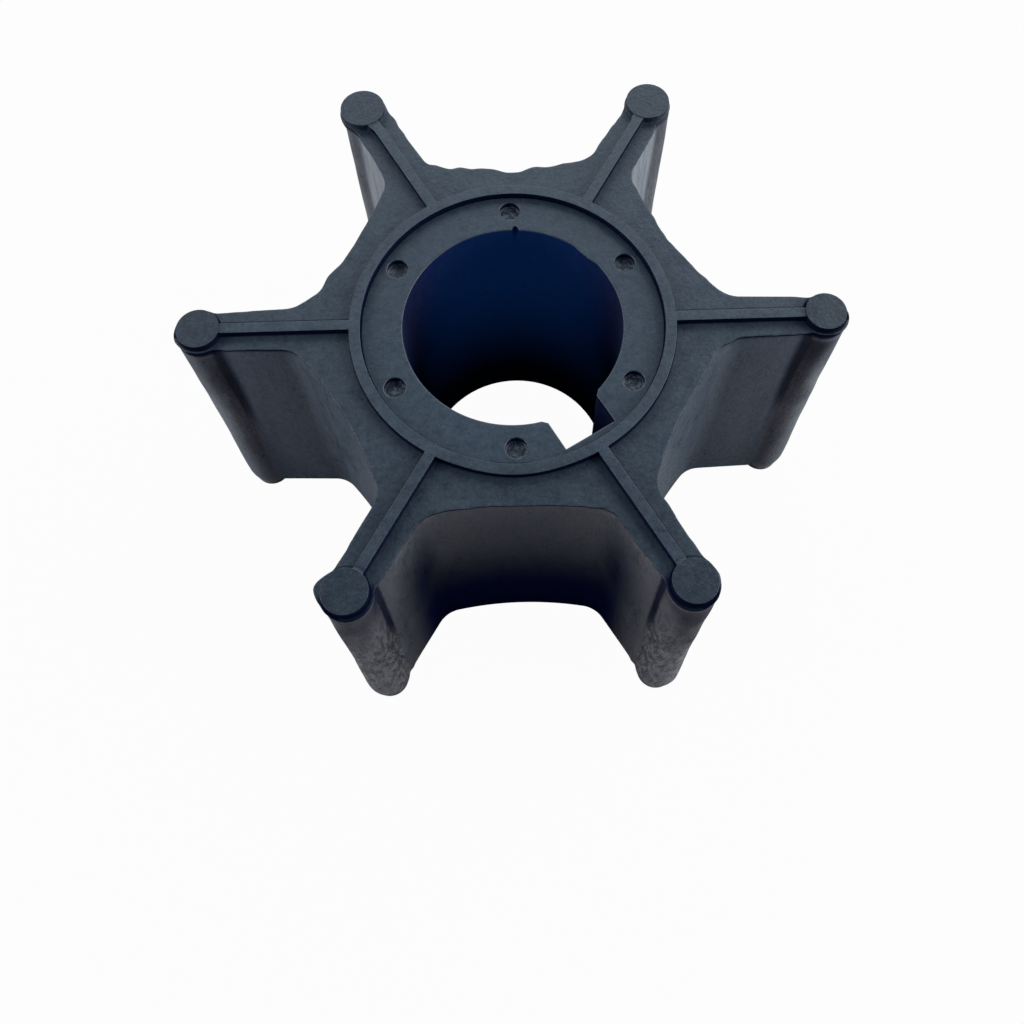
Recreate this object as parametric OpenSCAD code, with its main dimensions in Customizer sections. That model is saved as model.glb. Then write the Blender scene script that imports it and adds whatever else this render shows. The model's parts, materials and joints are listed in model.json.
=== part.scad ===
/* [Bore and insert] */
// Bore of the insert, a sliding fit on the drive shaft
bore_d = 16; // [12:0.1:18]
// Width of the keyway
keyway_w = 4; // [2:0.1:5]
// Depth of the keyway below the wall of the bore, at its middle
keyway_depth = 2.3; // [1:0.1:2.4]
// Chamfer along the two edges where the keyway meets the bore
keyway_chamfer = 0.35; // [0.1:0.05:0.6]
// Wall of the insert round its bore, as its end faces show it
insert_wall = 3; // [2.8:0.1:3.6]
// Height of the splines that key the insert in the rubber
spline_h = 1; // [0.4:0.1:1.5]
// Width of one spline
spline_w = 2.6; // [1.5:0.1:3.5]
// Number of splines
spline_count = 12; // [6:1:16]
// Length of plain insert at each end, before the splines start
spline_inset = 4; // [2:0.5:8]
// Diameter of the shallow dimples in the top face of the insert
dimple_d = 1.5; // [0.8:0.1:2]
// Depth of the dimples
dimple_depth = 0.5; // [0.2:0.1:1]
// Land between a dimple and the outer edge of the insert's face
dimple_land = 0.5; // [0.3:0.05:1]

/* [Hub and vanes] */
// Number of vanes
vane_count = 6; // [5:1:7]
// Height of the rubber between its two flat faces
body_h = 26; // [18:0.5:40]
// Rubber between the insert and the floor of a pocket, where it is thinnest
hub_wall = 2.6; // [2:0.1:3.4]
// Radius of a pocket's floor, which curves in towards the axis
floor_r = 30; // [24:1:60]
// Radius of the fillet between the floor and a vane
root_fillet = 2.4; // [1:0.1:3]
// Thickness of a vane just inside its tip bead
vane_t = 2.6; // [2:0.1:3.2]
// Angle by which each side of a vane widens towards the hub
vane_taper = 2; // [0.5:0.5:4]
// Diameter of the circle through the centres of the tip beads
tip_circle_d = 45.3; // [43:0.1:60]
// Diameter of the round bead that seals at a vane's tip
bead_d = 3.26; // [3.2:0.01:4.5]
// Radius of the hollow between a vane's side and its bead
bead_fillet = 1.2; // [0.6:0.1:2]

/* [Faces] */
// Overhang of the thin moulding lip round the top edge
lip = 0.25; // [0.05:0.05:0.4]
// Thickness of that lip
lip_t = 0.4; // [0.2:0.1:1]
// Width of the raised ring and of the raised ribs
rib_w = 0.8; // [0.5:0.1:1.5]
// Height of the ring and the ribs above a face
rib_h = 0.5; // [0.2:0.05:1]
// Height of the raised disc on the end of each bead
disc_h = 0.65; // [0.3:0.05:1.2]
// How far a disc's edge stands in from its bead's edge
disc_inset = 0.08; // [0.05:0.01:0.3]

/* [Hidden] */
$fn = 96;

bore_r = bore_d / 2;
insert_r = bore_r + insert_wall;
spline_r = insert_r + spline_h;
dimple_circle_r = insert_r - dimple_land - dimple_d / 2;
bead_r = bead_d / 2;
tip_r = tip_circle_d / 2;
pitch = 360 / vane_count;
base_z = disc_h;
face_z = base_z + body_h;
keyway_angle = -pitch;
// How far cutting shapes run past a face, and a factor that takes a point past the rim
cut = 1;
past_rim = 1.3;

// A pocket is the space between two vanes. It is drawn with its middle along +X,
// and its upper half is worked out below: the lower half mirrors it.

// Direction at right angles to the vane's side, pointing into the pocket
side_angle = vane_taper - (90 - pitch / 2);
side_n = [cos(side_angle), sin(side_angle)];
// Direction along the vane's side, pointing outwards
side_u = [-sin(side_angle), cos(side_angle)];
// Distance of the side's line from the axis
side_d = vane_t / 2 * cos(vane_taper) + tip_r * sin(vane_taper);

// Centre of the floor's arc
floor_c = [insert_r + hub_wall + floor_r, 0];
// Centre of the root fillet: inside the floor's arc and off the vane's side
root_d = side_d + root_fillet;
root_reach = sqrt(pow(floor_r - root_fillet, 2) - pow(root_d - floor_c * side_n, 2));
root_c = root_d * side_n + (floor_c * side_u - root_reach) * side_u;

// Centre of the bead at the end of the vane that bounds the pocket
bead_c = tip_r * [cos(pitch / 2), sin(pitch / 2)];
// Centre of the hollow between that vane's side and its bead
hollow_d = side_d + bead_fillet;
hollow_reach = sqrt(pow(bead_r + bead_fillet, 2) - pow(hollow_d - bead_c * side_n, 2));
hollow_c = hollow_d * side_n + (bead_c * side_u - hollow_reach) * side_u;

// Upper half of the pocket's edge, from behind the floor to outside the blank.
// grow moves every wall of the rubber outwards by that much.
function upper_edge(grow) = [
    [floor_c.x - floor_r - root_fillet, 0],
    floor_c + (root_c - floor_c) * (floor_r - grow) / (floor_r - root_fillet),
    root_c - (root_fillet - grow) * side_n,
    hollow_c - (bead_fillet - grow) * side_n,
    bead_c + (hollow_c - bead_c) * (bead_r + grow) / (bead_r + bead_fillet),
    bead_c,
    bead_c * past_rim,
];
function lower_edge(upper) = [for (i = [len(upper) - 1 : -1 : 1]) [upper[i].x, -upper[i].y]];

module pocket_2d(grow) {
    upper = upper_edge(grow);
    intersection() {
        translate(floor_c) circle(r = floor_r - grow);
        polygon(concat(upper, lower_edge(upper)));
    }
    for (side = [0, 1]) mirror([0, side]) {
        translate(root_c) circle(r = root_fillet - grow);
        translate(hollow_c) circle(r = bead_fillet - grow);
    }
}

// Outline of the rubber seen along the axis
module vanes_2d(grow = 0) {
    difference() {
        circle(r = tip_r - bead_r / 2);
        for (i = [0 : vane_count - 1]) rotate((i + 0.5) * pitch) pocket_2d(grow);
    }
    for (i = [0 : vane_count - 1]) rotate(i * pitch) translate([tip_r, 0]) circle(r = bead_r + grow);
}

// Raised ring round the insert, and one rib from it along each vane
module ribs_2d() {
    difference() {
        union() {
            circle(r = insert_r + rib_w);
            for (i = [0 : vane_count - 1]) rotate(i * pitch) translate([0, -rib_w / 2]) square([tip_r, rib_w]);
        }
        circle(r = insert_r);
    }
}

module discs_2d() {
    for (i = [0 : vane_count - 1]) rotate(i * pitch) translate([tip_r, 0]) circle(r = bead_r - disc_inset);
}

// Outside of the insert, which the rubber is moulded round
module insert_outside() {
    translate([0, 0, base_z]) cylinder(r = insert_r, h = body_h);
    translate([0, 0, base_z + spline_inset]) linear_extrude(body_h - 2 * spline_inset) intersection() {
        circle(r = spline_r);
        for (i = [0 : spline_count - 1]) rotate((i + 0.5) * 360 / spline_count) {
            translate([0, -spline_w / 2]) square([spline_r + cut, spline_w]);
        }
    }
}

// Keyway seen along the axis, with its chamfered mouth at the bore
module keyway_2d() {
    half = keyway_w / 2;
    mouth = half + keyway_chamfer;
    mouth_x = sqrt(pow(bore_r, 2) - pow(mouth, 2));
    floor_x = bore_r + keyway_depth;
    polygon([
        [0, -mouth],
        [mouth_x, -mouth],
        [mouth_x + keyway_chamfer, -half],
        [floor_x, -half],
        [floor_x, half],
        [mouth_x + keyway_chamfer, half],
        [mouth_x, mouth],
        [0, mouth],
    ]);
}

module dimples() {
    for (i = [0 : vane_count - 1]) rotate((i + 0.5) * pitch) {
        translate([dimple_circle_r, 0, face_z - dimple_depth]) cylinder(d = dimple_d, h = dimple_depth + cut);
    }
}

module vane_body() {
    color("#3f464d") difference() {
        union() {
            translate([0, 0, base_z]) linear_extrude(body_h) vanes_2d();
            translate([0, 0, face_z - lip_t]) linear_extrude(lip_t) vanes_2d(lip);
            translate([0, 0, base_z - rib_h]) linear_extrude(body_h + 2 * rib_h) ribs_2d();
            linear_extrude(body_h + 2 * disc_h) discs_2d();
        }
        insert_outside();
        translate([0, 0, -cut]) cylinder(r = insert_r, h = face_z + disc_h + 2 * cut);
    }
}

module hub_insert() {
    color("#4b5259") difference() {
        insert_outside();
        translate([0, 0, -cut]) cylinder(r = bore_r, h = face_z + 2 * cut);
        translate([0, 0, -cut]) linear_extrude(face_z + 2 * cut) rotate(keyway_angle) keyway_2d();
        dimples();
    }
}

vane_body();
hub_insert();
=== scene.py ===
# %% [markdown]
# # A flexible pump impeller
#
# The impeller is a star of rubber, moulded round a hard insert. A shaft with a key turns the
# insert, and the soft vanes carry liquid round the pump. Everything worth looking at is small
# here: the thin moulding lip round the upper edge, the raised ribs that seal against the cover,
# the lumpy skin of the tip beads and the worn, slightly dusty rubber.
#
# The frame is loaded first. It holds the two pieces at their real size, in metres, and everything
# below is fitted to it.

# %% Load the frame
import json
import math

import bmesh
import bpy
from mathutils import Euler, Matrix, Vector, noise


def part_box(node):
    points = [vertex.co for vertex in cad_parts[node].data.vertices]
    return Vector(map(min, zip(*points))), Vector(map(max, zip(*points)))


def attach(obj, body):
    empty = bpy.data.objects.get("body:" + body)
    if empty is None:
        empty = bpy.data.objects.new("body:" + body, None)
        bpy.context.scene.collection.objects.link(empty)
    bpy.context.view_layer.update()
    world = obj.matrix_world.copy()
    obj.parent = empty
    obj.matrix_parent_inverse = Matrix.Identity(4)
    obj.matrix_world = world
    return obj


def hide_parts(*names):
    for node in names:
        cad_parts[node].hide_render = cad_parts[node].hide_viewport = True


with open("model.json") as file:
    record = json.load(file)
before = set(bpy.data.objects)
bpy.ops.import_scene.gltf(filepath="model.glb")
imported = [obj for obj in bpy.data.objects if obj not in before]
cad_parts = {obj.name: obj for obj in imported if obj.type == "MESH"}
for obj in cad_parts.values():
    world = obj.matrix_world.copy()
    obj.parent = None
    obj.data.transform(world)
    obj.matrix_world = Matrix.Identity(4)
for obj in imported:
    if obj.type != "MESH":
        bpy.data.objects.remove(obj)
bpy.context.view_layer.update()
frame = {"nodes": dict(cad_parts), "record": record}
print("nodes:", sorted(frame["nodes"]))

# %% [markdown]
# ## Camera
#
# The picture was taken from in front and above, 64 degrees above the horizon, with the camera
# about 10 cm away. Such a short distance gives the strong perspective: the near vanes look longer
# than the far ones. The object lies above the middle of the picture, so the lens is shifted by
# the same share of the picture's width, and the camera still points at the object.

# %% Place the camera
MM = 0.001
# In pixels
PICTURE = 1024
FOCAL_PIXELS = 1141.4
OPTICAL_CENTRE = Vector((527, 380))
# In millimetres, and the turn in degrees
SENSOR = 36.0
CAMERA_PLACE = Vector((0.0, -39.9, 99.1))
CAMERA_TURN = (25.99, 0.15, -1.74)


def place_camera():
    """The camera at the photograph's place, with its lens and shift."""
    data = bpy.data.cameras.new("camera")
    data.sensor_width = SENSOR
    data.lens = FOCAL_PIXELS * SENSOR / PICTURE
    data.shift_x = 0.5 - OPTICAL_CENTRE.x / PICTURE
    data.shift_y = OPTICAL_CENTRE.y / PICTURE - 0.5
    data.clip_start = 0.001
    camera = bpy.data.objects.new("camera", data)
    camera.location = CAMERA_PLACE * MM
    camera.rotation_euler = Euler(math.radians(angle) for angle in CAMERA_TURN)
    bpy.context.collection.objects.link(camera)
    bpy.context.scene.camera = camera
    return camera


camera = place_camera()
print("lens", round(camera.data.lens, 2), "mm, shift", round(camera.data.shift_y, 3))

# %% [markdown]
# ## Sizes
#
# The meshes are drawn in millimetres, because the details are tenths of a millimetre, and are
# scaled to metres once, at the end. What the frame knows is read from it. The rest are the
# driving sizes of the moulding, and the meeting points of its arcs and straight lines are worked
# out from them. A gap of a hundredth of a millimetre keeps the insert clear of the rubber.

# %% Driving sizes
body_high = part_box("vane_body")[1] / MM
insert_low, insert_high = (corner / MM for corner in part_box("hub_insert"))
mounts = {mount["name"]: mount for mount in frame["record"]["mounts"]}

GAP = 0.01
VANES = 6
PITCH = math.radians(360 / VANES)
HALF = PITCH / 2
BEAD_R = 1.63
LIP = 0.25
INSERT_WALL = 3.0
HUB_WALL = 2.6
FLOOR_R = 30.0
ROOT_FILLET = 2.4
VANE_T = 2.6
VANE_TAPER = math.radians(2)
BEAD_FILLET = 1.2
RIB_W = 0.8
RIB_H = 0.5
DISC_R = 1.55

face_z = insert_high.z
base_z = insert_low.z
disc_h = body_high.z - face_z
bore_r = mounts["bore"]["dims"]["r_mm"]
insert_r = bore_r + INSERT_WALL
ring_r = insert_r + RIB_W
tip_r = body_high.x - LIP - BEAD_R
print("faces at", round(base_z, 2), "and", round(face_z, 2), "mm, tips at", round(tip_r, 2))

# %% [markdown]
# The outline of one vane is drawn with the vane along +X. Its side widens by two degrees towards
# the hub. A round fillet leads into the curved floor between two vanes, and a small hollow leads
# into the round bead at the tip. Each arc touches its neighbours, so its centre is found by
# stepping off the side's line and swinging a radius.


# %% Where the arcs meet
def flat(x, y):
    """A point in the plane of a face."""
    return Vector((x, y, 0.0))


def polar(radius, angle):
    """A point in the plane of a face, given by its radius and its angle."""
    return flat(radius * math.cos(angle), radius * math.sin(angle))


def centre_off_side(other, reach, radius):
    """Centre of an arc that touches the vane's side and lies inwards of another centre, at reach."""
    offset = side_d + radius
    along = math.sqrt(reach**2 - (offset - other.dot(side_n)) ** 2)
    return side_n * offset + side_u * (other.dot(side_u) - along)


side_n = flat(math.sin(VANE_TAPER), math.cos(VANE_TAPER))
side_u = flat(math.cos(VANE_TAPER), -math.sin(VANE_TAPER))
side_d = VANE_T / 2 * math.cos(VANE_TAPER) + tip_r * math.sin(VANE_TAPER)

axis_c = flat(0, 0)
bead_c = flat(tip_r, 0)
floor_c = polar(insert_r + HUB_WALL + FLOOR_R, HALF)
root_c = centre_off_side(floor_c, FLOOR_R - ROOT_FILLET, ROOT_FILLET)
hollow_c = centre_off_side(bead_c, BEAD_R + BEAD_FILLET, BEAD_FILLET)

floor_middle = polar(insert_r + HUB_WALL, HALF)
floor_end = floor_c.lerp(root_c, FLOOR_R / (FLOOR_R - ROOT_FILLET))
side_start = root_c - side_n * ROOT_FILLET
side_end = hollow_c - side_n * BEAD_FILLET
bead_start = bead_c.lerp(hollow_c, BEAD_R / (BEAD_R + BEAD_FILLET))
bead_tip = flat(tip_r + BEAD_R, 0)

rib_start = flat(math.sqrt(ring_r**2 - (RIB_W / 2) ** 2), RIB_W / 2)
rib_end = flat(tip_r - math.sqrt(DISC_R**2 - (RIB_W / 2) ** 2), RIB_W / 2)
print("straight side of a vane:", round((side_end - side_start).length, 2), "mm")

# %% [markdown]
# ## Drawing with a pen
#
# A bmesh can draw a line as a pen does: the last vertex is extruded, and the new one is moved
# along, or swung round a centre. Three such lines make one twelfth of an end face of the rubber:
# its outline, the outline of the raised ring, rib and disc, and the line round the insert and
# along the middle of the rib. Two lines with the same number of steps are bridged, which gives
# clean rows of four-sided faces. Each face is tagged with the zone that it belongs to, and later
# steps pick faces by that tag.


# %% A pen and a bridge
class Pen:
    """Draws a chain of edges in a bmesh, one extruded vertex after another."""

    def __init__(self, bm, start):
        self.bm = bm
        self.verts = [bm.verts.new(start)]

    def step(self, matrix):
        """Extrudes the last vertex, and moves the new one by a matrix."""
        new = bmesh.ops.extrude_vert_indiv(self.bm, verts=[self.verts[-1]])["verts"]
        bmesh.ops.transform(self.bm, matrix=matrix, verts=new)
        self.verts += new

    def straight(self, end, steps):
        """Draws a straight line to a point."""
        move = Matrix.Translation((end - self.verts[-1].co) / steps)
        for _ in range(steps):
            self.step(move)

    def arc(self, centre, end, steps):
        """Draws an arc round a centre to a point, the shorter way."""
        start = self.verts[-1].co
        angle = (end - centre).xy.angle_signed((start - centre).xy)
        turn = Matrix.Rotation(angle / steps, 4, "Z")
        swing = Matrix.Translation(centre) @ turn @ Matrix.Translation(-centre)
        for _ in range(steps):
            self.step(swing)

    def edges(self, count=None):
        """The edges between the first few vertices, or all of them."""
        verts = self.verts[:count]
        return [self.bm.edges.get(pair) for pair in zip(verts, verts[1:])]


def bridge(bm, chain_a, chain_b, rows, zone):
    """Fills the strip between two chains of edges with rows of faces, all of one zone."""
    made = bmesh.ops.bridge_loops(bm, edges=chain_a + chain_b)
    zones = bm.faces.layers.int["zone"]
    for face in made["faces"]:
        face[zones] = zone
    if rows > 1:
        bmesh.ops.subdivide_edges(bm, edges=made["edges"], cuts=rows - 1, use_grid_fill=True)


# %% One twelfth of an end face
FLOOR_STEPS = 30
ROOT_STEPS = 13
SIDE_STEPS = 22
HOLLOW_STEPS = 5
BEAD_STEPS = 26
FLAT, RIB, DISC = range(3)


def new_sheet():
    """An empty bmesh with the layers that the later steps use."""
    bm = bmesh.new()
    bm.faces.layers.int.new("zone")
    bm.verts.layers.float_vector.new("home")
    bm.verts.layers.float_vector.new("outward")
    return bm


def half_wedge():
    """One twelfth of an end face: the upper half of the vane along +X, flat, without its disc."""
    bm = new_sheet()
    outline = Pen(bm, floor_middle)
    outline.arc(floor_c, floor_end, FLOOR_STEPS)
    outline.arc(root_c, side_start, ROOT_STEPS)
    outline.straight(side_end, SIDE_STEPS)
    outline.arc(hollow_c, bead_start, HOLLOW_STEPS)
    outline.arc(bead_c, bead_tip, BEAD_STEPS)
    star = Pen(bm, polar(ring_r, HALF))
    star.arc(axis_c, rib_start, FLOOR_STEPS)
    star.straight(rib_end, ROOT_STEPS + SIDE_STEPS)
    star.arc(bead_c, flat(tip_r + DISC_R, 0), HOLLOW_STEPS + BEAD_STEPS)
    core = Pen(bm, polar(insert_r, HALF))
    core.arc(axis_c, flat(insert_r, 0), FLOOR_STEPS)
    core.straight(flat(tip_r - DISC_R, 0), ROOT_STEPS + SIDE_STEPS)

    inner_star = star.edges(len(core.verts))
    bridge(bm, core.edges(), inner_star, 1, RIB)
    bridge(bm, star.edges(), outline.edges(), 1, FLAT)
    return bm


sample = half_wedge()
print("faces in one twelfth:", len(sample.faces))
sample.free()

# %% [markdown]
# The twelfth is mirrored into a whole vane, its disc is filled in and ringed with insets, and the
# wedge is spun into the full star. The zones make the next step short: the faces of the ring, the
# ribs and the discs are extruded upwards, and the disc once more.

# %% A whole end face
MERGE = 0.001
# Widths of the rings of faces inside a disc's edge
DISC_RINGS = (0.3, 0.35, 0.35)


def all_of(bm):
    """Everything in a bmesh."""
    return bm.verts[:] + bm.edges[:] + bm.faces[:]


def spin_copies(bm, copies):
    """Spins copies of a wedge round the axis, one pitch apart."""
    spin = dict(cent=axis_c, axis=(0, 0, 1), angle=PITCH * copies, steps=copies)
    bmesh.ops.spin(bm, geom=all_of(bm), use_duplicate=True, **spin)


def face_up(bm):
    """Makes the faces of a sheet agree, and point upwards."""
    bmesh.ops.recalc_face_normals(bm, faces=bm.faces)
    if sum(face.normal.z for face in bm.faces) < 0:
        bmesh.ops.reverse_faces(bm, faces=bm.faces)


def end_face():
    """A whole end face of the rubber, flat, with its zones tagged."""
    bm = half_wedge()
    bmesh.ops.mirror(bm, geom=all_of(bm), merge_dist=MERGE, axis="Y")
    zones = bm.faces.layers.int["zone"]

    def on_disc(vert):
        return abs((vert.co - bead_c).length - DISC_R) < MERGE

    rim = [edge for edge in bm.edges if edge.is_boundary and all(map(on_disc, edge.verts))]
    disc = bmesh.ops.edgeloop_fill(bm, edges=rim)["faces"]
    for inset in DISC_RINGS:
        bmesh.ops.inset_individual(bm, faces=disc, thickness=inset, use_even_offset=True)
    for face in bm.faces:
        if (face.calc_center_median() - bead_c).length < DISC_R - DISC_RINGS[0] / 4:
            face[zones] = DISC

    spin_copies(bm, VANES - 1)
    bmesh.ops.remove_doubles(bm, verts=bm.verts, dist=MERGE)
    return bm


def raise_zones(bm, zones_up, height):
    """Extrudes the faces of some zones upwards, with walls round them."""
    zones = bm.faces.layers.int["zone"]
    faces = [face for face in bm.faces if face[zones] in zones_up]
    made = bmesh.ops.extrude_face_region(bm, geom=faces)["geom"]
    bmesh.ops.delete(bm, geom=faces, context="FACES")
    verts = [item for item in made if isinstance(item, bmesh.types.BMVert)]
    bmesh.ops.translate(bm, vec=(0, 0, height), verts=verts)
    face_up(bm)


sample = end_face()
print("faces:", len(sample.faces), "open edges:", sum(edge.is_boundary for edge in sample.edges))
sample.free()

# %% [markdown]
# ## Tools for walls and edges
#
# The side of a piece grows out of the open outline of its top face. Each extruded row of edges is
# one step of the profile. So that a row knows which way is out, every vertex of the outline
# carries its place and the direction that points away from the material, and the new rows
# inherit both.

# %% Limits and a ramp
# Corners beyond this angle are rounded, and heights closer than this are the same
SHARP = math.radians(30)
EVEN = 1e-4


def ramp(value, low, high):
    """Rises smoothly from 0 at low to 1 at high."""
    share = min(max((value - low) / (high - low), 0), 1)
    return share * share * (3 - 2 * share)


print("half way up a ramp:", ramp(0.5, 0, 1))


# %% Loops and rows
def open_edges(bm, inner):
    """The open edges of a sheet: those round its middle, or those round its outside."""
    edges = [edge for edge in bm.edges if edge.is_boundary]
    reach = max(edge.verts[0].co.xy.length for edge in edges)
    limit = insert_r * 0.97 if reach < ring_r else (insert_r + ring_r) / 2
    return [edge for edge in edges if (edge.verts[0].co.xy.length < limit) == inner]


def mark_outline(bm, edges):
    """Stores on each vertex of a loop its place and the direction that points out of the piece."""
    home = bm.verts.layers.float_vector["home"]
    outward = bm.verts.layers.float_vector["outward"]
    up = Vector((0, 0, 1))
    for edge in edges:
        first, second = edge.verts
        side = (second.co - first.co).cross(up)
        inside = edge.link_faces[0].calc_center_median()
        if side.dot(first.co - inside) < 0:
            side.negate()
        for vert in edge.verts:
            vert[home] = vert.co
            vert[outward] = vert[outward] + side
    for vert in {vert for edge in edges for vert in edge.verts}:
        vert[outward] = vert[outward].normalized()


def sweep(bm, edges, rows, place):
    """Extrudes a loop row after row. place works out the position of a new vertex."""
    home = bm.verts.layers.float_vector["home"]
    outward = bm.verts.layers.float_vector["outward"]
    for row in rows:
        made = bmesh.ops.extrude_edge_only(bm, edges=edges)["geom"]
        edges = [item for item in made if isinstance(item, bmesh.types.BMEdge)]
        for vert in {vert for edge in edges for vert in edge.verts}:
            vert.co = place(vert[home], vert[outward], *row)


# %% Rounded edges
def sharp_edges(bm, convex, level=None):
    """The level edges at outward corners, or at inward ones. level picks one height."""
    found = []
    for edge in bm.edges:
        first, second = (vert.co.z for vert in edge.verts)
        if len(edge.link_faces) != 2 or abs(first - second) > EVEN:
            continue
        at_level = level is None or abs(first - level) < EVEN
        if at_level and edge.is_convex == convex and edge.calc_face_angle() > SHARP:
            found.append(edge)
    return found


def soften(bm, edges, width, segments):
    """Rounds some edges."""
    bmesh.ops.bevel(
        bm,
        geom=edges,
        offset=width,
        offset_type="OFFSET",
        segments=segments,
        profile=0.5,
        affect="EDGES",
        clamp_overlap=False,
        material=-1,
    )


# %% Moving, turning and joining
def move(bm, height):
    """Lifts a whole sheet."""
    bmesh.ops.translate(bm, vec=(0, 0, height), verts=bm.verts)


def turn_over(bm):
    """Turns an end face upside down, as the lower face of a piece."""
    bmesh.ops.scale(bm, vec=(1, 1, -1), verts=bm.verts)
    bmesh.ops.reverse_faces(bm, faces=bm.faces)


def add_copy(bm, other):
    """Adds a copy of another bmesh, and frees that one."""
    mesh = bpy.data.meshes.new("copy")
    other.to_mesh(mesh)
    other.free()
    bm.from_mesh(mesh)
    bpy.data.meshes.remove(mesh)


# %% Finishing a piece
def even_shading(mesh):
    """A copy whose shading follows the larger faces, so that flat faces look flat."""
    carrier = bpy.data.objects.new("carrier", mesh)
    bpy.context.collection.objects.link(carrier)
    carrier.modifiers.new("even shading", "WEIGHTED_NORMAL")
    graph = bpy.context.evaluated_depsgraph_get()
    shaded = carrier.evaluated_get(graph)
    even = bpy.data.meshes.new_from_object(shaded, preserve_all_data_layers=True, depsgraph=graph)
    bpy.data.objects.remove(carrier)
    bpy.data.meshes.remove(mesh)
    return even


def finish_piece(bm, name, node):
    """Closes a piece, evens its shading, scales it to metres and puts it in place of its node."""
    bmesh.ops.remove_doubles(bm, verts=bm.verts, dist=MERGE)
    bmesh.ops.recalc_face_normals(bm, faces=bm.faces)
    gaps = sum(not edge.is_manifold for edge in bm.edges)
    for face in bm.faces:
        face.smooth = True
    mesh = bpy.data.meshes.new("sheet")
    bm.to_mesh(mesh)
    bm.free()
    for layer in ("home", "outward", "zone"):
        mesh.attributes.remove(mesh.attributes[layer])
    mesh = even_shading(mesh)
    mesh.transform(Matrix.Scale(MM, 4))
    piece = bpy.data.objects.new(name, mesh)
    bpy.context.collection.objects.link(piece)
    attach(piece, "root")
    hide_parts(node)
    triangles = sum(len(polygon.vertices) - 2 for polygon in mesh.polygons)
    print(name, "has", triangles, "triangles and", gaps, "open edges")
    return piece


# %% [markdown]
# ## The rubber
#
# The two halves of the mould leave a thin lip round the upper edge. It is never even: it comes
# and goes with smooth noise, so every vane gets an edge of its own. The wall below it leans in a
# little, as it must to leave the mould. The beads have rubbed against the pump's housing and are
# lumpy, so a second noise moves the wall, strongly on the beads and faintly in the pockets.
#
# Inside, the rubber grips the insert. Twelve grooves take the insert's splines, between a plain
# band at each end.

# %% Profile of the rubber
# Rows from the upper edge down: share of the lip's overhang, offset of their own, drop
LIP_ROWS = (
    (1, -0.06, 0),
    (1, -0.02, 0.02),
    (1, 0, 0.07),
    (1, -0.02, 0.15),
    (0.8, -0.02, 0.22),
    (0.4, 0, 0.28),
    (0.12, 0, 0.36),
    (0, 0, 0.6),
)
WALL_STEPS = 50
# How far the wall leans in on its way down, and how much lumps and grain are stretched downwards
DRAFT = 0.1
STRETCH = 0.4
FOOT_ROUND = 0.15
SPLINES = 12
SPLINE_H = 1.0
SPLINE_INSET = 4.0
SPLINE_HALF = math.radians(6.9)
drop_end = face_z - base_z
print("rows of the wall:", len(LIP_ROWS) + WALL_STEPS)

# %% [markdown]
# No two vanes of a used impeller are alike. The tables hold what sets each one apart, with one
# value for each vane, counter-clockwise from the one along +X: how much of the lip runs round
# its bead, how much wider and where its disc is, how far its foot swells, how far the hollow
# beside its bead fills up lower down, how lumpy it is, and the share of its disc that is worn
# down. The list of marks holds single places on the upper edge.

# %% Wear of each vane
BEAD_LIPS = (0.9, 0.15, 0.15, 0.9, 0.8, 0.9)
BEAD_GROWTH = (-0.04, 0.1, 0.12, 0, 0.02, 0)
BEAD_MOVES = ((0, 0), (-0.1, -0.06), (-0.12, -0.04), (0, 0), (0, 0), (0, 0))
BEAD_FEET = (0.2, 0.05, 0.05, 0.2, 0.22, 0.22)
HOLLOW_FILL = (0.1, 0, 0, 0.1, 0.3, 0.3)
LUMPS = (0.04, 0.03, 0.03, 0.03, 0.04, 0.04)
PLAIN_LUMPS = 0.015
DISC_SINKS = (0.6, 0.8, 0.8, 0.6, 0, 0)

# Marks on the upper edge: middle x and y, reach, move in x and y, depth, all in millimetres
MARKS = (
    (-4.7, 13.9, 1.1, 0.05, -0.35, 1),
    (-3.2, 13.8, 1.0, 0, -0.12, 0.8),
    (-5.9, 14.8, 1.2, -0.08, -0.24, 1),
    (-9.5, 19.0, 1.2, 0.22, 0.06, 1),
    (0.4, 13.7, 1.9, 0, -0.45, 1),
    (3.0, 13.8, 1.4, 0, -0.15, 0.8),
    (-13.8, 3.0, 1.5, 0.25, -0.25, 2),
    (-12.2, 6.0, 2.5, 0.1, -0.06, 2),
    (12.2, 6.5, 2.5, -0.12, -0.08, 2),
    (-13.1, -19.2, 1.3, -0.35, 0.02, 2.5),
    (0, -13.6, 5, 0, -0.15, 1),
    (15.1, -3.1, 1.4, -0.45, 0.25, 2.5),
)
print("marks on the upper edge:", len(MARKS))


# %% Where a place lies, and how far it moves
def vane_of(place):
    """Number of the nearest vane, counted counter-clockwise from the one along +X."""
    return round(math.atan2(place.y, place.x) / PITCH) % VANES


def from_bead(place):
    """The way from the middle of the nearest bead to a place, seen along the axis."""
    return flat(place.x, place.y) - polar(tip_r, vane_of(place) * PITCH)


def lip_width(home):
    """Overhang of the moulding lip at one place of the outline."""
    waves = noise.noise(home * 0.35) + 0.5 * noise.noise(home * 1.3)
    on_bead = ramp(from_bead(home).length, BEAD_R + 1.2, BEAD_R)
    share = 1 + (BEAD_LIPS[vane_of(home)] - 1) * on_bead
    return (LIP - GAP) * (0.55 + 0.45 * ramp(waves, -0.6, 0.5)) * share


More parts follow.
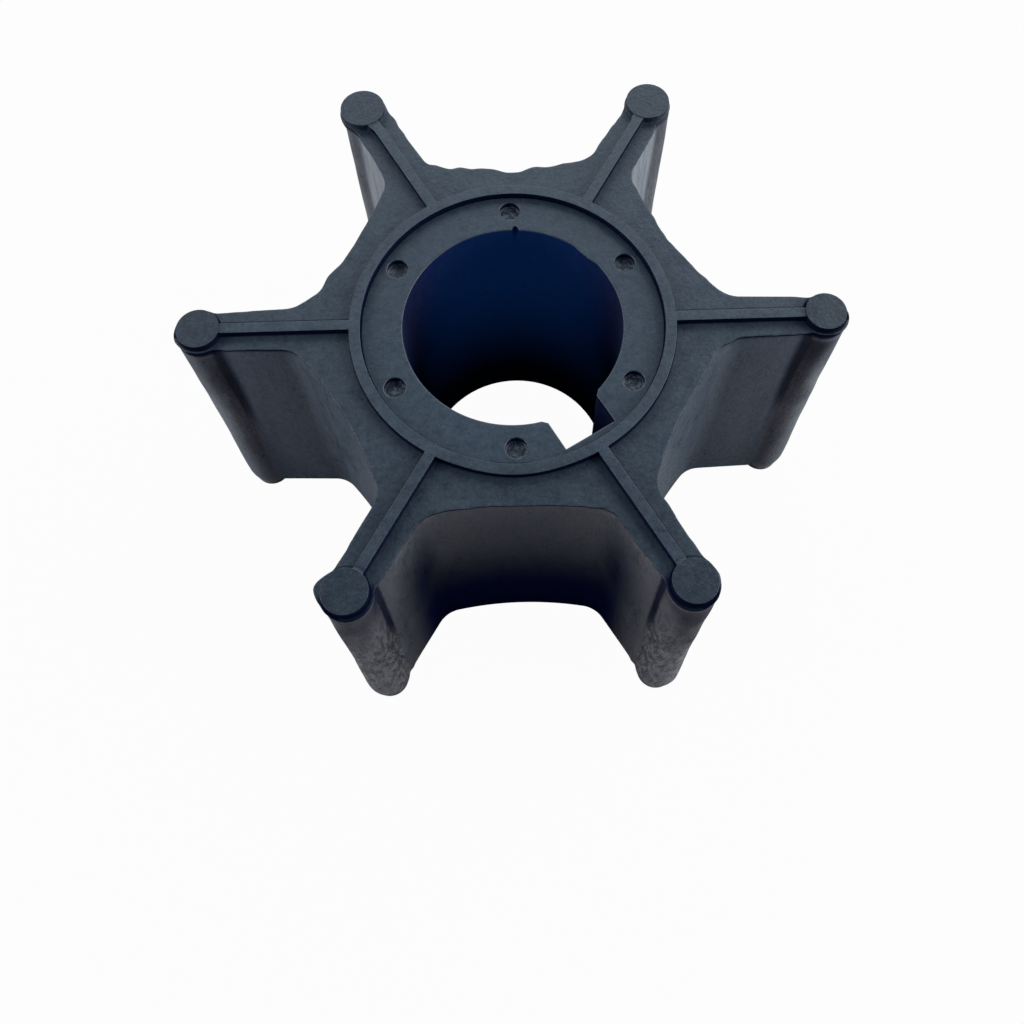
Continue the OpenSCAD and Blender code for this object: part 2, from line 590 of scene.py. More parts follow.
def shift(home, drop):
    """How far the marks of the moulding and of use move a place sideways."""
    way = from_bead(home)
    near = ramp(way.length, BEAD_R + 0.9, BEAD_R) * ramp(drop, 1.2, 0.2)
    moved = (way * BEAD_GROWTH[vane_of(home)] + flat(*BEAD_MOVES[vane_of(home)])) * near
    if way.length < (DISC_R + BEAD_R) / 2:
        return moved
    for x, y, reach, move_x, move_y, depth in MARKS:
        far = (flat(home.x, home.y) - flat(x, y)).length / reach
        if far < 1:
            moved += flat(move_x, move_y) * (1 - far * far) ** 2 * ramp(drop, depth, 0)
    return moved


def sink(place):
    """How far a place on top of a disc lies below its full height, in the sheet's own frame."""
    return DISC_SINKS[vane_of(place)] * max(place.z - RIB_H, 0)


def skin(home, drop):
    """How far lumps move the wall outwards at one place. The beads are wider at their feet."""
    vane = vane_of(home)
    away = from_bead(home).length
    on_bead = ramp(away, BEAD_R + 1.2, BEAD_R)
    in_hollow = ramp(away, BEAD_R, BEAD_R + 0.4) * ramp(away, BEAD_R + 1.8, BEAD_R + 0.7)
    place = Vector((home.x, home.y, -drop * STRETCH))
    lumps = noise.noise(place * 0.45) + 0.5 * noise.noise(place)
    swell = BEAD_FEET[vane] * on_bead * ramp(drop, 12, 24)
    hollow = HOLLOW_FILL[vane] * in_hollow * (ramp(drop, 5, 13) - 0.45)
    fade = ramp(drop, 0.3, 1.5) * ramp(drop_end - drop, 0, 1.5)
    return (lumps * (PLAIN_LUMPS + LUMPS[vane] * on_bead) + swell + hollow) * fade


# %% Rows of the walls
def on_wall(home, outward, share, extra, drop):
    """A vertex of the outer wall. share is its part of the lip, extra its own offset."""
    lip = share * lip_width(home) + extra
    draft = DRAFT * (1 - drop / drop_end) * ramp(drop, 0.2, 1)
    out = max(lip, draft) + skin(home, drop)
    return home + outward * out + shift(home, drop) + Vector((0, 0, face_z - drop))


def in_socket(home, outward, drop, deep):
    """A vertex of the socket that holds the insert. deep is 1 where the splines run."""
    step = 2 * math.pi / SPLINES
    off_spline = abs((math.atan2(home.y, home.x)) % step - step / 2)
    radius = insert_r + SPLINE_H * deep * (off_spline < SPLINE_HALF)
    return home.xy.normalized().to_3d() * radius + Vector((0, 0, face_z - drop))


def wall_rows():
    """Rows of the plain wall between the lip and the foot."""
    first = LIP_ROWS[-1][2]
    step = (drop_end - first) / WALL_STEPS
    return [(0, 0, first + step * (index + 1)) for index in range(WALL_STEPS)]


# Rows of the socket from the upper edge down: drop, and 1 where the splines run
SOCKET_ROWS = (
    (SPLINE_INSET, 0),
    (SPLINE_INSET, 1),
    (drop_end - SPLINE_INSET, 1),
    (drop_end - SPLINE_INSET, 0),
    (drop_end, 0),
)

# %% The whole moulding
EDGE_ROUND = 0.04
CORNER_ROUND = 0.03


def dressed_face():
    """An end face with its raised ring, ribs and discs, and with small rounds on their edges."""
    bm = end_face()
    raise_zones(bm, (RIB, DISC), RIB_H)
    raise_zones(bm, (DISC,), disc_h - RIB_H)
    soften(bm, sharp_edges(bm, convex=True), EDGE_ROUND, 2)
    soften(bm, sharp_edges(bm, convex=False, level=0), CORNER_ROUND, 1)
    return bm


def make_vane_body():
    """The whole rubber moulding."""
    bm = dressed_face()
    outline = open_edges(bm, inner=False)
    socket = open_edges(bm, inner=True)
    mark_outline(bm, outline)
    mark_outline(bm, socket)
    for vert in bm.verts:
        vert.co.z -= sink(vert.co)
        vert.co += shift(vert.co, 0)
    move(bm, face_z)
    sweep(bm, outline, list(LIP_ROWS) + wall_rows(), on_wall)
    sweep(bm, socket, SOCKET_ROWS, in_socket)
    lower = dressed_face()
    turn_over(lower)
    move(lower, base_z)
    add_copy(bm, lower)
    bmesh.ops.remove_doubles(bm, verts=bm.verts, dist=MERGE)
    soften(bm, sharp_edges(bm, convex=True, level=base_z), FOOT_ROUND, 3)
    return finish_piece(bm, "rubber_star", "vane_body")


vane_body = make_vane_body()

# %% [markdown]
# ## The insert
#
# The insert is a thick ring with a keyway and six shallow dimples, one in the middle of each
# pocket. Half of one sixth of its face is drawn, from the line through a dimple to the middle of
# a vane. It is the strip between the edge of the face and the half circle of the dimple. The
# sixth that holds the keyway needs a second strip, for the land behind the keyway.

# %% One sixth of the insert's face
DIMPLE_R = 0.75
DIMPLE_LAND = 0.5
DIMPLE_DEPTH = 0.45
KEYWAY_HALF = 2.0
KEYWAY_DEPTH = 2.3
KEYWAY_CHAMFER = 0.35
# Numbers of steps along each stretch of the face's edge, and of rows of faces across it
LAND_STEPS = 11
MIDDLE_STEPS = 8
CHAMFER_STEPS = 3
BORE_STEPS = 36
KEYED_BORE_STEPS = 15
FACE_ROWS = 4
LAND_ROWS = 3
# Widths of the rings of faces inside a dimple's edge
DIMPLE_RINGS = (0.1, 0.2, 0.25)
outer_r = insert_r - GAP
dimple_c = polar(insert_r - DIMPLE_LAND - DIMPLE_R, HALF)
FACE, DIMPLE = range(2)


def draw_dimple(bm, steps):
    """Half the circle of a dimple, on the side of the vane's middle line."""
    out = polar(DIMPLE_R, HALF)
    side = polar(DIMPLE_R, HALF - math.pi / 2)
    rim = Pen(bm, dimple_c + out)
    rim.arc(dimple_c, dimple_c + side, steps // 2)
    rim.arc(dimple_c, dimple_c - out, steps - steps // 2)
    return rim


def plain_half(bm):
    """Half a sixth of the face, without the keyway."""
    edge = Pen(bm, polar(outer_r, HALF))
    edge.arc(axis_c, flat(outer_r, 0), FLOOR_STEPS)
    edge.straight(flat(bore_r, 0), MIDDLE_STEPS)
    edge.arc(axis_c, polar(bore_r, HALF), BORE_STEPS)
    rim = draw_dimple(bm, len(edge.verts) - 1)
    bridge(bm, edge.edges(), rim.edges(), FACE_ROWS, FACE)


def keyed_half(bm):
    """Half of the sixth that holds the keyway, with the land behind the keyway."""
    land_start = polar(outer_r, HALF * LAND_STEPS / FLOOR_STEPS)
    mouth = KEYWAY_HALF + KEYWAY_CHAMFER
    mouth_x = math.sqrt(bore_r**2 - mouth**2)
    corner = flat(bore_r + KEYWAY_DEPTH, KEYWAY_HALF)
    edge = Pen(bm, polar(outer_r, HALF))
    edge.arc(axis_c, land_start, FLOOR_STEPS - LAND_STEPS)
    edge.straight(corner, LAND_ROWS)
    edge.straight(flat(mouth_x + KEYWAY_CHAMFER, KEYWAY_HALF), MIDDLE_STEPS)
    edge.straight(flat(mouth_x, mouth), CHAMFER_STEPS)
    edge.arc(axis_c, polar(bore_r, HALF), KEYED_BORE_STEPS)
    rim = draw_dimple(bm, len(edge.verts) - 1)
    bridge(bm, edge.edges(), rim.edges(), FACE_ROWS, FACE)
    land = Pen(bm, land_start)
    land.arc(axis_c, flat(outer_r, 0), LAND_STEPS)
    floor = Pen(bm, corner)
    floor.straight(flat(corner.x, 0), LAND_STEPS)
    bridge(bm, land.edges(), floor.edges(), LAND_ROWS, FACE)


def sixths(draw_half, turn, copies):
    """Draws half a sixth, mirrors it, turns it into place and spins more copies of it."""
    bm = new_sheet()
    draw_half(bm)
    bmesh.ops.mirror(bm, geom=all_of(bm), merge_dist=MERGE, axis="Y")
    bmesh.ops.rotate(bm, cent=axis_c, matrix=Matrix.Rotation(turn, 3, "Z"), verts=bm.verts)
    if copies:
        spin_copies(bm, copies)
    return bm


def insert_face():
    """A whole end face of the insert, flat, with its dimples filled in and tagged."""
    bm = sixths(plain_half, 0, VANES - 2)
    add_copy(bm, sixths(keyed_half, -PITCH, 0))
    bmesh.ops.remove_doubles(bm, verts=bm.verts, dist=MERGE)
    zones = bm.faces.layers.int["zone"]
    for index in range(VANES):
        centre = polar(dimple_c.length, HALF + index * PITCH)
        near = [edge for edge in bm.edges if edge.is_boundary]
        rim = [edge for edge in near if (edge.verts[0].co - centre).length < DIMPLE_R + EVEN]
        dimple = bmesh.ops.edgeloop_fill(bm, edges=rim)["faces"]
        for inset in DIMPLE_RINGS:
            bmesh.ops.inset_individual(bm, faces=dimple, thickness=inset, use_even_offset=True)
        for face in bm.faces:
            if (face.calc_center_median() - centre).length < DIMPLE_R - EVEN:
                face[zones] = DIMPLE
    face_up(bm)
    return bm


sample = insert_face()
print("faces:", len(sample.faces), "open edges:", sum(edge.is_boundary for edge in sample.edges))
sample.free()

# %% The whole insert
BORE_ROWS = 12
INSERT_ROUND = 0.09

# Marks on the bore's edge: middle x and y, reach, and how far out they go
BORE_MARKS = (
    (0.37, 8, 0.3, 0.4),
    (5.6, 5.6, 1.1, -0.16),
)


def on_insert(home, outward, drop, deep):
    """A vertex of the insert's outside: on a spline where the socket is cut deeper."""
    place = in_socket(home, outward, drop, deep)
    radius = place.xy.length - GAP
    return place.xy.normalized().to_3d() * radius + Vector((0, 0, place.z))


def nick(place, drop):
    """How far the nicks and the thin flash on the bore's edge move a place."""
    moved = flat(0, 0)
    for x, y, reach, out in BORE_MARKS:
        far = (flat(place.x, place.y) - flat(x, y)).length / reach
        if far < 1:
            moved += flat(x, y).normalized() * out * (1 - far * far) * ramp(drop, 2, 0)
    return moved


def down_bore(home, outward, drop):
    """A vertex of the bore's wall or of the keyway."""
    return home + nick(home, drop) + Vector((0, 0, face_z - drop))


def make_hub_insert():
    """The insert with its bore, keyway, splines and dimples."""
    bm = insert_face()
    raise_zones(bm, (DIMPLE,), -DIMPLE_DEPTH)
    outside = open_edges(bm, inner=False)
    bore = open_edges(bm, inner=True)
    mark_outline(bm, outside)
    mark_outline(bm, bore)
    for vert in bm.verts:
        vert.co += nick(vert.co, 0)
    move(bm, face_z)
    sweep(bm, outside, SOCKET_ROWS, on_insert)
    sweep(bm, bore, [(drop_end * (row + 1) / BORE_ROWS,) for row in range(BORE_ROWS)], down_bore)
    lower = insert_face()
    turn_over(lower)
    move(lower, base_z)
    add_copy(bm, lower)
    bmesh.ops.remove_doubles(bm, verts=bm.verts, dist=MERGE)
    soften(bm, sharp_edges(bm, convex=True, level=face_z), INSERT_ROUND, 3)
    soften(bm, sharp_edges(bm, convex=True, level=base_z), INSERT_ROUND, 2)
    return finish_piece(bm, "hub_ring", "hub_insert")


hub_insert = make_hub_insert()

# %% [markdown]
# ## Materials
#
# A material is a small graph of nodes. Two helper classes keep its code short. A value from a
# node can be added, multiplied and compared as if it were a number, and every such step makes
# one more node. The shader builds the other nodes and sets their sockets.
#
# Shade is painted in where no lamp reaches: a narrow gap, or the bottom of a pit, is made near
# black and takes no shine at all. So each surface is made twice, once glossy and once dull, and
# a mask says where the dull one, with its painted shade, shows.


# %% Values
class Value:
    """A number, colour or surface that a shader works out at every point."""

    def __init__(self, shader, socket):
        self.shader = shader
        self.socket = socket

    def __add__(self, other):
        return self.shader.math("ADD", self, other)

    def __radd__(self, other):
        return self.shader.math("ADD", other, self)

    def __sub__(self, other):
        return self.shader.math("SUBTRACT", self, other)

    def __rsub__(self, other):
        return self.shader.math("SUBTRACT", other, self)

    def __mul__(self, other):
        return self.shader.math("MULTIPLY", self, other)

    def __rmul__(self, other):
        return self.shader.math("MULTIPLY", other, self)

    def rise(self, low, high):
        """Rises smoothly from 0 at low to 1 at high, or falls where low is the larger."""
        if low > high:
            return 1 - self.rise(high, low)
        sockets = {"Value": self, "From Min": low, "From Max": high}
        settings = {"interpolation_type": "SMOOTHSTEP"}
        return self.shader.value("ShaderNodeMapRange", settings, sockets, "Result")


# %% Shaders
class Shader:
    """The nodes of one material, or of the world."""

    def __init__(self, owner):
        owner.use_nodes = True
        self.owner = owner
        self.tree = owner.node_tree
        self.tree.nodes.clear()

    def node(self, kind, settings, sockets):
        """Adds a node. A socket is fed by a value or holds a constant."""
        node = self.tree.nodes.new(kind)
        for name, setting in settings.items():
            setattr(node, name, setting)
        for name, given in sockets.items():
            socket = node.inputs[name]
            if isinstance(given, Value):
                self.tree.links.new(given.socket, socket)
            elif socket.type == "RGBA":
                socket.default_value = (*given, 1)
            else:
                socket.default_value = given
        return node

    def value(self, kind, settings, sockets, output=0):
        """Adds a node, and gives what comes out of it."""
        return Value(self, self.node(kind, settings, sockets).outputs[output])

    def math(self, operation, first, second=0):
        """One step of arithmetic."""
        return self.value("ShaderNodeMath", {"operation": operation}, {0: first, 1: second})

    def place(self, scale=(1, 1, 1)):
        """Places on the piece, in millimetres. A scale below 1 stretches a pattern that way."""
        coordinates = self.value("ShaderNodeTexCoord", {}, {}, "Object")
        scale = tuple(part / MM for part in scale)
        return self.value("ShaderNodeMapping", {}, {"Vector": coordinates, "Scale": scale})

    def parts(self, vector):
        """The three parts of a vector."""
        node = self.node("ShaderNodeSeparateXYZ", {}, {0: vector})
        return [Value(self, socket) for socket in node.outputs]

    def true_normal(self):
        """The three parts of the direction that a face points in."""
        return self.parts(self.value("ShaderNodeNewGeometry", {}, {}, "True Normal"))

    def noise(self, vector, scale, detail=3, roughness=0.6):
        """Smooth noise, mostly between 0.3 and 0.7."""
        sockets = {"Vector": vector, "Scale": scale, "Detail": detail, "Roughness": roughness}
        return self.value("ShaderNodeTexNoise", {}, sockets, "Fac")

    def spots(self, vector, scale, edge, middle):
        """Small round spots on scattered points: 0 outside their edge, and 1 in their middle."""
        sockets = {"Vector": vector, "Scale": scale, "Randomness": 1}
        away = self.value("ShaderNodeTexVoronoi", {}, sockets, "Distance")
        return away.rise(edge, middle)

    def mix(self, share, first, second):
        """A colour between two others."""
        sockets = {0: share, 6: first, 7: second}
        return self.value("ShaderNodeMix", {"data_type": "RGBA"}, sockets, 2)

    def blend(self, share, first, second):
        """A surface between two others."""
        return self.value("ShaderNodeMixShader", {}, {0: share, 1: first, 2: second})

    def bump(self, height, distance):
        """A bump. Its height is a value, and its distance a size in millimetres."""
        sockets = {"Height": height, "Distance": distance * MM, "Strength": 1}
        return self.value("ShaderNodeBump", {}, sockets)

    def seen(self):
        """1 for what the camera sees straight away, 0 for light between two places."""
        return self.value("ShaderNodeLightPath", {}, {}, "Is Camera Ray")

    def finish(self, sockets, dull, dull_colour):
        """Ends a material with its glossy surface, and with a dull one where the mask is 1."""
        glossy = self.value("ShaderNodeBsdfPrincipled", {}, sockets)
        plain = {"Base Color": dull_colour, "Roughness": 1.0, "Specular IOR Level": 0.0}
        matte = self.value("ShaderNodeBsdfPrincipled", {}, plain)
        self.node("ShaderNodeOutputMaterial", {}, {"Surface": self.blend(dull, glossy, matte)})
        print(self.owner.name, "has", len(self.tree.nodes), "nodes")
        return self.owner


# %% [markdown]
# The rubber looks different on each part of the star, so its shader has to know where a place
# lies. It measures the distances from the axis, from the middle of the nearest vane and from
# the middle of the nearest bead, and makes masks of them. A mask is 1 on its part, 0 elsewhere
# and changes smoothly between. The rest of the material is masks multiplied with noise.

# %% Colours
DARK = (0.008, 0.016, 0.025)
PALE = (0.032, 0.050, 0.068)
# Grey of worn walls; how much of it shows also carries painted light and shade
WORN = (0.104, 0.138, 0.190)
WORN_BEAD = (0.122, 0.116, 0.124)
# Near black: painted shade under the lip, at gaps, pits and hollows, and dark patches in scuffs
SHADE_AND_SCUFF_DARK = (0.002, 0.004, 0.016)
# Painted shade on the insert's bore and keyway walls
BORE_SHADE = (0.001, 0.003, 0.022)
# Painted shade low in the near pocket
NAVY_SHADE = (0.004, 0.007, 0.050)
# Pale dust and specks, and also the colour of a painted sheen on the walls
DUST_AND_SHEEN = (0.16, 0.18, 0.20)
SCUFFED = (0.28, 0.28, 0.29)
# Painted reflection: the weak blue emission in the bore
BORE_GLOW = (0.0005, 0.0080, 0.038)
print("pale rubber is", round(PALE[2] / DARK[2], 1), "times as bright as dark rubber")

# %% Masks of the star
# Width of the painted shade line round a raised part, and place and soft edge of its painted shadow
FOOT_LINE = 0.12
DISC_LINE = 0.14
SHADE_SHIFT = 0.36
SHADE_EDGE = 0.03


class StarShader(Shader):
    """The rubber's shader. In its masks x, y and z are millimetres, and y is negative in front."""

    def __init__(self):
        super().__init__(bpy.data.materials.new("rubber"))
        self.x, self.y, self.z = self.parts(self.place())
        self.aside = self.x * self.x
        self.radius, self.across, self.off_bead = self.star_places(self.y)
        _, facing, up = self.true_normal()
        self.level = up.rise(0.55, 0.9)
        self.not_facing_back = facing.rise(0.55, 0.1)
        self.near = self.y.rise(-8, -14)
        self.on_bead = self.off_bead.rise(BEAD_R + 0.5, BEAD_R + 0.1)
        self.raised = self.z.rise(face_z + RIB_H * 0.6, face_z + RIB_H * 0.8)
        below_lip = (self.z + 0.25 * self.on_bead).rise(face_z - 0.2, face_z - 0.65)
        self.wall = (1 - self.level) * below_lip
        far_bead = self.on_bead * self.y.rise(12, 16)
        # Painted shade: the band of wall just under the lip is near black, less so on the far beads
        self.step = (1 - self.level) * (1 - below_lip) * (1 - 0.65 * far_bead)

    def star_places(self, y):
        """Distances from the axis, from the middle of the nearest vane and from its bead."""
        radius = self.math("SQRT", self.aside + y * y)
        turn = self.math("PINGPONG", self.math("ARCTAN2", y, self.x), HALF)
        along = radius * self.math("COSINE", turn)
        across = radius * self.math("SINE", turn)
        past = along - tip_r
        return radius, across, self.math("SQRT", past * past + across * across)

    def height(self, low, high):
        """Rises from one share of the face's height to another."""
        return self.z.rise(face_z * low, face_z * high)


# %% Painted dark lines and shade
def foot_shade(star):
    """Painted shade: a dark line at the foot of the ring, ribs and discs, and a shadow behind."""
    foot = star.across.rise(RIB_W / 2 + FOOT_LINE, RIB_W / 2)
    foot = foot + star.radius.rise(ring_r + FOOT_LINE, ring_r)
    foot = foot + star.off_bead.rise(DISC_R + DISC_LINE, DISC_R)
    radius, across, off_bead = star.star_places(star.y - SHADE_SHIFT)
    shade = across.rise(RIB_W / 2 + SHADE_EDGE, RIB_W / 2 - SHADE_EDGE)
    shade = shade + radius.rise(ring_r + SHADE_EDGE, ring_r - SHADE_EDGE)
    shade = shade + off_bead.rise(DISC_R + SHADE_EDGE, DISC_R - SHADE_EDGE)
    fade = 1 - 0.85 * star.y.rise(7, 11)
    return (foot + 0.6 * shade) * star.level * (1 - star.raised) * fade


def disc_rim_shade(star):
    """Painted shade: a dark rim of the face in front of the near discs."""
    front = star.y + 0.8 * star.aside.rise(118, 145)
    rim = star.off_bead.rise(DISC_R, DISC_R + 0.05) * star.level * star.on_bead
    return rim * front.rise(-18.6, -19.4) * (1 - star.raised)


def hollow(star):
    """Painted shade: a dark band in the hollow beside a bead. It is narrower on the near vanes."""
    off, near = star.off_bead, star.near
    band = off.rise(BEAD_R + 0.9, BEAD_R + 0.35) * off.rise(BEAD_R, BEAD_R + 0.15)
    band = band * (1 - near * off.rise(BEAD_R + 0.35, BEAD_R + 0.65))
    band = band * (0.3 - 0.3 * near + (0.5 + 0.4 * near) * star.height(0.42, 0.65))
    return band * (1 - 0.6 * star.y.rise(4, 9))


def corner(star):
    """The navy shade low in the near pocket, which reaches higher at its two sides."""
    pocket = star.radius.rise(20, 17) * star.y.rise(-11, -13.5) * star.aside.rise(120, 90)
    sides = 0.8 * star.aside.rise(28, 55) * star.height(1.05, 0.55)
    return pocket * star.math("MAXIMUM", star.height(0.75, 0.22), sides)


# %% Painted soft light, and wear with painted light
def painted_sheen(star):
    """Painted sheen: soft light on the far walls, the outer beads and one foot."""
    streaks = star.noise(star.place((1, 1, 0.12)), 1.6, 4, 0.6).rise(0.42, 0.62)
    far = star.y.rise(8, 13) * (0.45 + 0.9 * streaks) * (1 - 0.8 * star.on_bead)
    outer = star.on_bead * star.aside.rise(500, 545) * (0.7 + 0.2 * star.x.rise(5, -5))
    foot = 0.5 * streaks * star.x.rise(8, 10) * star.y.rise(-5, -8) * star.height(0.5, 0.1)
    return far + outer + foot * (1 - star.on_bead)


def wear_and_painted_light(star, cloud):
    """Wear, most on beads and feet, plus painted light and shade, darker where walls face back."""
    on_bead, near = star.on_bead, star.near
    share = 0.38 + 0.4 * on_bead + 0.5 * on_bead * star.height(0.5, 0.1)
    share = share + (0.6 + 0.6 * on_bead) * cloud
    share = share - 0.16 * star.radius.rise(19, 15) * star.aside.rise(70, 130)
    share = share + near * (0.08 + 0.16 * star.x.rise(2, 9)) - 0.3 * on_bead * star.y.rise(8, 13)
    share = share + 0.14 * near * on_bead * star.height(0.4, 0.7)
    return share * (0.25 + 0.75 * star.not_facing_back)


# %% [markdown]
# The rubber is near black. What tells it from plain black is small: a cloudy grain, pits and
# pale specks, walls that are greyer than the faces from wear and painted light, painted shade
# on the low steps under the lip and round the raised parts, and two near beads that are scuffed
# by the pump's housing.


# %% Rubber
def rubber_material():
    """Black rubber: grain, painted shade, walls grey with wear and painted light, scuffed near
    beads.
    """
    star = StarShader()
    level, wall, on_bead, raised = star.level, star.wall, star.on_bead, star.raised
    place = star.place((1, 1, STRETCH))
    mottle = star.noise(place, 0.9, 5, 0.65)
    fine = star.noise(place, 3.2, 4, 0.7)
    grain = star.noise(place, 9, 3, 0.7)
    rub = star.noise(place, 2.0, 6, 0.8)
    pits = star.spots(place, 1.6, 0.13, 0.06) * star.noise(place, 0.8).rise(0.45, 0.6)
    specks = star.spots(place, 1.1, 0.06, 0.03) * star.noise(place, 0.6).rise(0.5, 0.62)
    rubbed = wall * on_bead * star.near * star.height(1, 0.5)
    cloud = 1.5 * (fine - 0.5) + 0.9 * (mottle - 0.5) + (grain - 0.5)

    # Painted shade: the face is darker towards the near side, away from the beads
    near_face_shade = star.y.rise(-9.5, -12) * star.off_bead.rise(2.5, 4)
    share = 0.5 + cloud + 0.1 * raised - 0.45 * raised * on_bead - 0.16 * near_face_shade
    colour = star.mix(share, DARK, PALE)
    worn = star.mix(on_bead + star.y.rise(-11, -14), WORN, WORN_BEAD)
    # Greyer walls: real wear, with painted light and shade in the amount
    colour = star.mix(wall * wear_and_painted_light(star, cloud), colour, worn)
    # Painted sheen: the walls turn pale where soft light would lie on them
    colour = star.mix(wall * star.not_facing_back * painted_sheen(star), colour, DUST_AND_SHEEN)
    colour = star.mix(0.5 * rubbed * rub.rise(0.51, 0.56), colour, SCUFFED)
    colour = star.mix(0.7 * rubbed * rub.rise(0.49, 0.45), colour, SHADE_AND_SCUFF_DARK)
    colour = star.mix(0.6 * specks, colour, DUST_AND_SHEEN)

    height = 0.4 * mottle + 0.6 * fine - 0.5 * pits * level
    height = height * (1 + 1.6 * on_bead * (1 - level)) + 4 * rub * rubbed
    sockets = {
        "Base Color": colour,
        "Roughness": 0.42 + 0.06 * level - 0.1 * wall + 0.25 * (mottle - 0.5) + 0.2 * (grain - 0.5),
        "Specular IOR Level": 0.4,
        "Normal": star.bump(height, 0.05),
    }
    # Painted shade: the dull near-black surface in pockets, hollows, steps, feet and pits
    navy = wall * corner(star)
    dull = 0.95 * navy + wall * hollow(star) + 0.95 * star.step
    dull = dull + 0.85 * foot_shade(star) + 0.85 * disc_rim_shade(star) + 0.7 * pits * level
    return star.finish(sockets, dull, star.mix(navy, SHADE_AND_SCUFF_DARK, NAVY_SHADE))


vane_body.data.materials.append(rubber_material())

# %% [markdown]
# The insert is a harder and more even black. Its dimples have rough floors with pale dust in
# them. Its walls carry painted shade, darker than its face and deepest in the bore, and a thin
# dark line of painted shade lies at the near edge of its face. The wall of the bore mirrors the
# bright room round the part. No plain lamp gives that soft blue, so a weak emission stands in for
# it as a painted reflection. It is strongest on the far side of the bore and fades downwards.


# %% Plastic
def plastic_material():
    """The hard black insert: fine even grain, dusty dimples, painted shade, a painted blue
    reflection.
    """
    shader = Shader(bpy.data.materials.new("insert plastic"))
    place = shader.place()
    x, y, z = shader.parts(place)
    radius = shader.math("SQRT", x * x + y * y)
    level = shader.true_normal()[2].rise(0.3, 0.8)
    mottle = shader.noise(place, 1.2, 5, 0.65)
    fine = shader.noise(place, 4, 4, 0.7)
    pits = shader.spots(place, 2.0, 0.13, 0.06) * shader.noise(place, 0.8).rise(0.5, 0.6)

    in_dimple = radius.rise(bore_r + 0.3, bore_r + 0.6) * z.rise(face_z - 0.7, face_z - 0.5)
    dimple_floor = in_dimple * level * z.rise(face_z - 0.1, face_z - 0.3)
    # Painted shade: a thin dark line along a short stretch of the near edge of the face
    near_edge_shade = radius.rise(insert_r - 0.2, insert_r - 0.1) * y.rise(0, -1)
    near_edge_shade = near_edge_shade * x.rise(-2.2, -1.6) * x.rise(1.2, 0.6)
    # Painted reflection: blue emission on the bore's wall, strongest far up, fading downwards
    glow = (1 - level) * radius.rise(bore_r + 0.4, bore_r + 0.1)
    glow = glow * z.rise(face_z * 0.1, face_z * 0.8)
    glow = glow * (0.03 + 0.92 * y.rise(1.5, bore_r)) * (0.5 + fine)

    cloud = 1.5 * (fine - 0.5) + 0.8 * (mottle - 0.5)
    # Painted shade: the insert's walls are darker than its face, deepest and bluest in the bore
    walls = shader.mix(in_dimple, BORE_SHADE, SHADE_AND_SCUFF_DARK)
    colour = shader.mix(level, walls, shader.mix(0.62 + cloud, DARK, PALE))
    dusty = dimple_floor * shader.noise(place, 3).rise(0.46, 0.62)
    colour = shader.mix(0.6 * dusty, colour, DUST_AND_SHEEN)
    height = 0.4 * mottle + 0.6 * fine - 0.4 * pits + 2 * dimple_floor * fine
    sockets = {
        "Base Color": colour,
        "Roughness": 0.45 + 0.3 * (mottle - 0.5),
        "Specular IOR Level": 0.4,
        "Emission Color": shader.mix(glow, (0, 0, 0), BORE_GLOW),
        "Emission Strength": 1.0,
        "Normal": shader.bump(height, 0.035),
    }
    # Painted shade: dull near black on the near edge line, in pits and on the dimples' walls
    dull = near_edge_shade + 0.6 * pits * level + 0.6 * in_dimple * (1 - level)
    return shader.finish(sockets, dull, SHADE_AND_SCUFF_DARK)


hub_insert.data.materials.append(plastic_material())

# %% [markdown]
# ## Stage and light
#
# The part lies on a white table under soft light. The camera sees the table almost white, as in
# a catalogue picture, but the table still takes the shadow, and its glow still fills the lower
# walls. A large soft panel behind and above the part gives the faces their even sheen, and four
# more light the walls from the sides. Sizes and places are in millimetres, and powers in watts.

# %% Table, backdrop and lamps
TABLE_R = 800
# Share of white that the camera sees on the table, and the grey that other light meets
TABLE_SEEN = 0.97
TABLE_GREY = (0.3, 0.3, 0.3)
WHITE = (1, 1, 1)
BLUE_WHITE = (0.88, 0.95, 1)
BLUE_ROOM = (0.25, 0.45, 1)
ROOM_LIGHT = 0.15

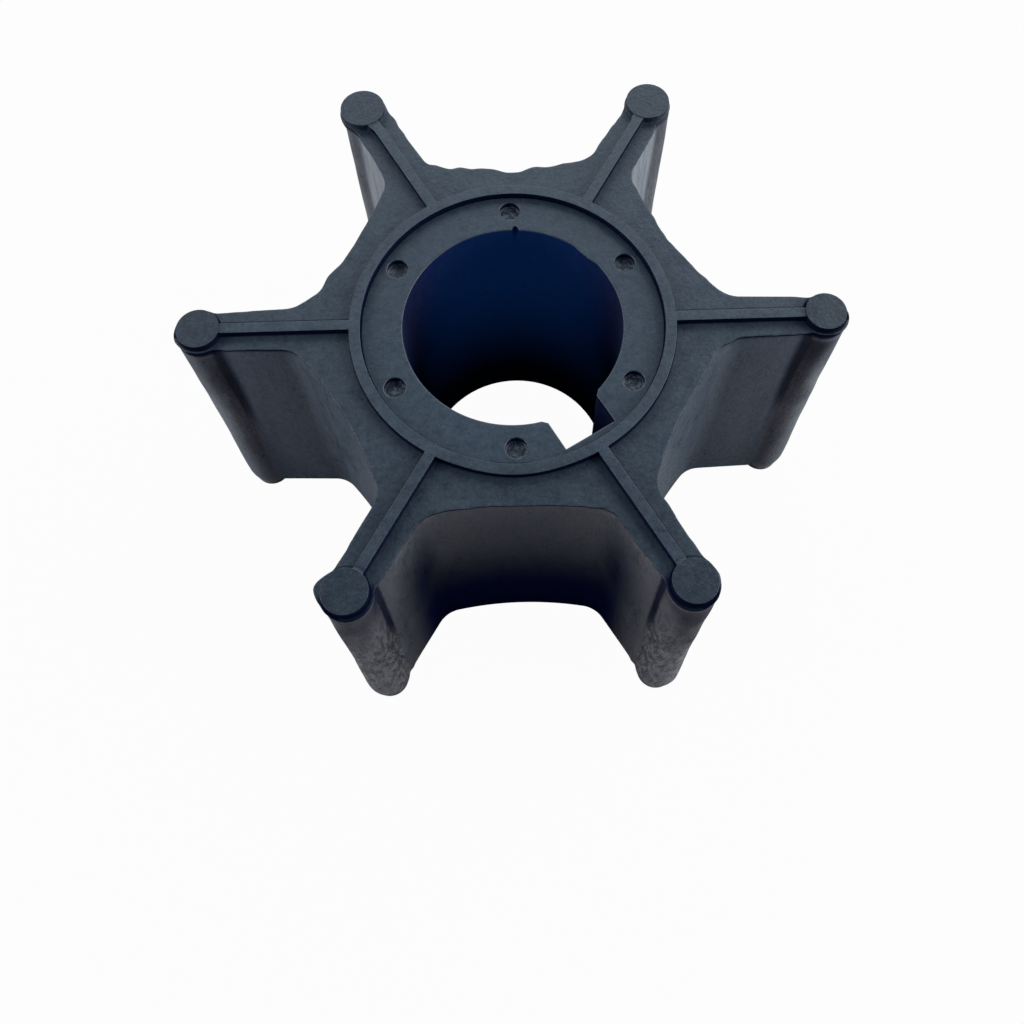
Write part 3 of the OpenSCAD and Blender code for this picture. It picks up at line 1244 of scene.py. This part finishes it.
# Name, place, size, power and colour of each soft panel
PANELS = (
    ("panel behind", (0, 330, 160), 250, 0.79, BLUE_WHITE),
    ("panel left", (-300, -30, 130), 200, 0.95, WHITE),
    ("panel right", (300, -30, 130), 200, 1.25, WHITE),
    ("panel left behind", (-230, 200, 150), 200, 0.4, WHITE),
    ("panel right behind", (230, 200, 150), 200, 0.7, WHITE),
)


def make_table():
    """A round white table, with its top where the part stands."""
    shader = Shader(bpy.data.materials.new("white table"))
    bright = shader.value("ShaderNodeEmission", {}, {"Color": WHITE, "Strength": 1.0})
    matte = shader.value("ShaderNodeBsdfDiffuse", {}, {"Color": TABLE_GREY})
    surface = shader.blend(shader.seen() * TABLE_SEEN, matte, bright)
    shader.node("ShaderNodeOutputMaterial", {}, {"Surface": surface})
    bm = bmesh.new()
    bmesh.ops.create_circle(bm, cap_ends=True, segments=96, radius=TABLE_R * MM)
    mesh = bpy.data.meshes.new("table")
    bm.to_mesh(mesh)
    bm.free()
    mesh.materials.append(shader.owner)
    table = bpy.data.objects.new("table", mesh)
    bpy.context.collection.objects.link(table)


def make_world():
    """Weak blue light from all round, and white behind everything."""
    shader = Shader(bpy.data.worlds.new("soft light"))
    light = shader.value("ShaderNodeBackground", {}, {"Color": BLUE_ROOM, "Strength": ROOM_LIGHT})
    white = shader.value("ShaderNodeBackground", {}, {"Color": WHITE, "Strength": 1.0})
    surface = shader.blend(shader.seen(), light, white)
    shader.node("ShaderNodeOutputWorld", {}, {"Surface": surface})
    bpy.context.scene.world = shader.owner


def make_panel(name, place, size, power, colour):
    """A square soft light that faces the part."""
    data = bpy.data.lights.new(name, "AREA")
    data.color = colour
    data.size = size * MM
    data.energy = power
    lamp = bpy.data.objects.new(name, data)
    lamp.location = Vector(place) * MM
    lamp.rotation_euler = (-Vector(place)).to_track_quat("-Z", "Y").to_euler()
    bpy.context.collection.objects.link(lamp)


make_table()
make_world()
for panel in PANELS:
    make_panel(*panel)
bpy.context.scene.view_settings.view_transform = "Standard"
print("lamps:", len(bpy.data.lights))
